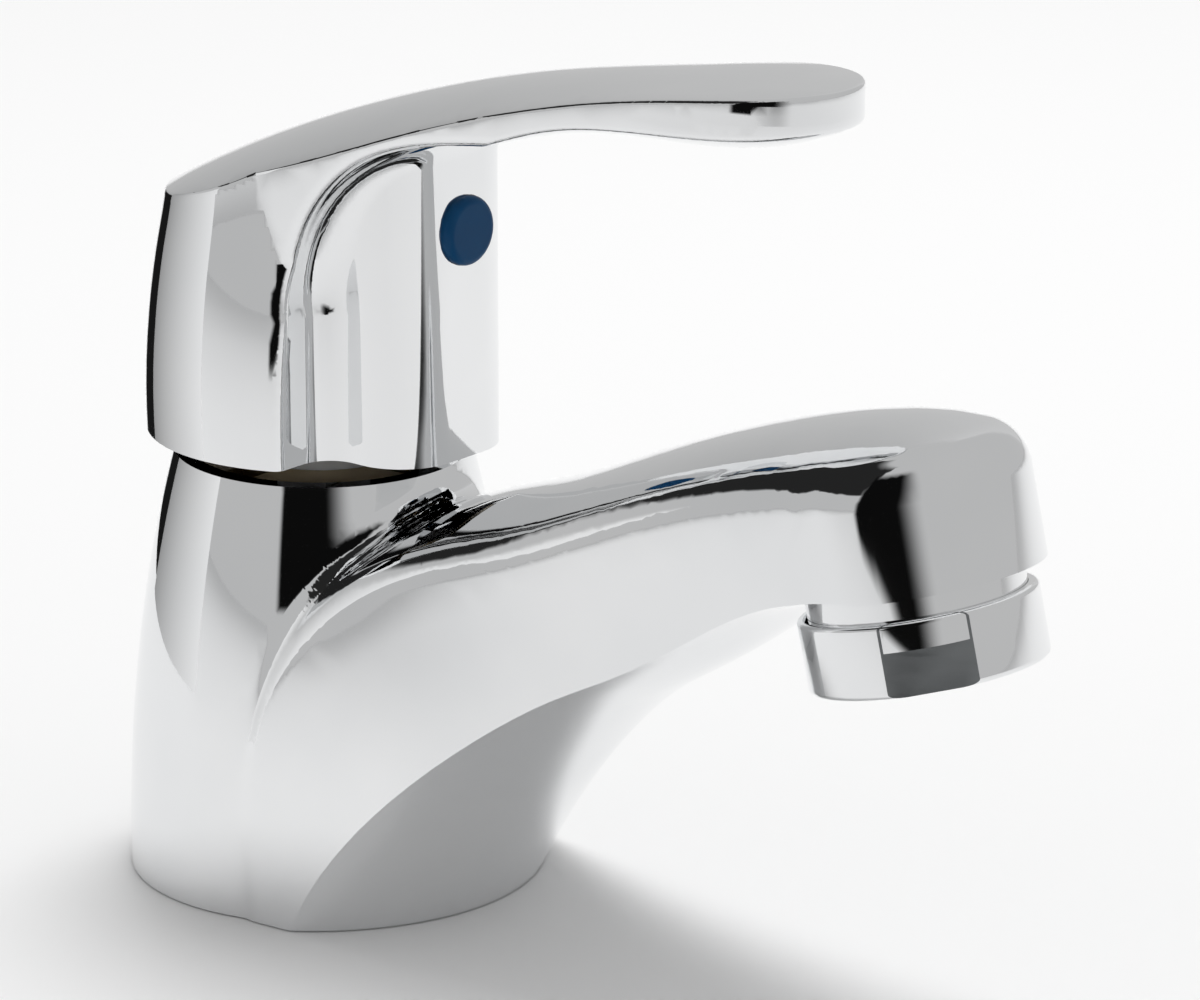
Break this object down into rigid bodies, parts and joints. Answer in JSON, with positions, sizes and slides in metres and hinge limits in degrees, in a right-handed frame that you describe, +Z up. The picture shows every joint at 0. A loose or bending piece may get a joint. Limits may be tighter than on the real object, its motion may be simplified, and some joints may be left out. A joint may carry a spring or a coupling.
{
  "type": "single lever basin tap",
  "caption": "Chromed single-lever basin tap: waisted pillar with scooped cast spout, lift-and-turn lever over a ceramic disc cartridge, tilted screw-on aerator.",
  "frame": {"origin": "centre of the foot on the deck plane, on the axis of the column", "axes": "+Z up the column, +X towards the spout, +Y to the left of someone standing behind the tap"},
  "size_m": [0.1239, 0.0464, 0.1041],
  "materials": {
    "chrome": "polished",
    "steel": "machined",
    "brass": "machined",
    "ceramic": "lapped ceramic",
    "pale_plastic": "moulded",
    "grey_plastic": "moulded",
    "blue_plastic": "gloss",
    "rubber": "matte"
  },
  "bodies": {
    "tap_body": {"body": "chrome", "base_gasket": "rubber", "cartridge_base": "grey_plastic", "port_seal": "rubber", "fixed_disc": "ceramic", "cartridge_housing": "grey_plastic", "housing_ring": "rubber", "clamping_nut": "brass", "aerator_ring": "chrome", "aerator_washer": "rubber", "aerator_insert": "pale_plastic", "flow_disc": "pale_plastic", "aerator_screen": "steel"},
    "turret": {"swivel_turret": "pale_plastic", "pivot_pin": "steel"},
    "lever": {"handle": "chrome", "index_button": "blue_plastic", "grub_screw": "steel", "stem": "steel"},
    "slider": {"disc_carrier": "pale_plastic", "moving_disc": "ceramic"}
  },
  "joints": [
    {"name": "lever_swivel", "type": "hinge", "parent": "tap_body", "child": "turret", "pos_m": [0, 0, 0.0479], "axis": [0, 0, 1], "range_deg": [-45, 45]},
    {"name": "lever_lift", "type": "hinge", "parent": "turret", "child": "lever", "pos_m": [0, 0, 0.0479], "axis": [0, -1, 0], "range_deg": [0, 20]},
    {"name": "disc_slide", "type": "slide", "parent": "turret", "child": "slider", "axis": [1, 0, 0], "range_m": [0, 0.004]}
  ],
  "couplings": [
    {"joint": "disc_slide", "follows": "lever_lift", "m_per_rad": 0.0109}
  ]
}
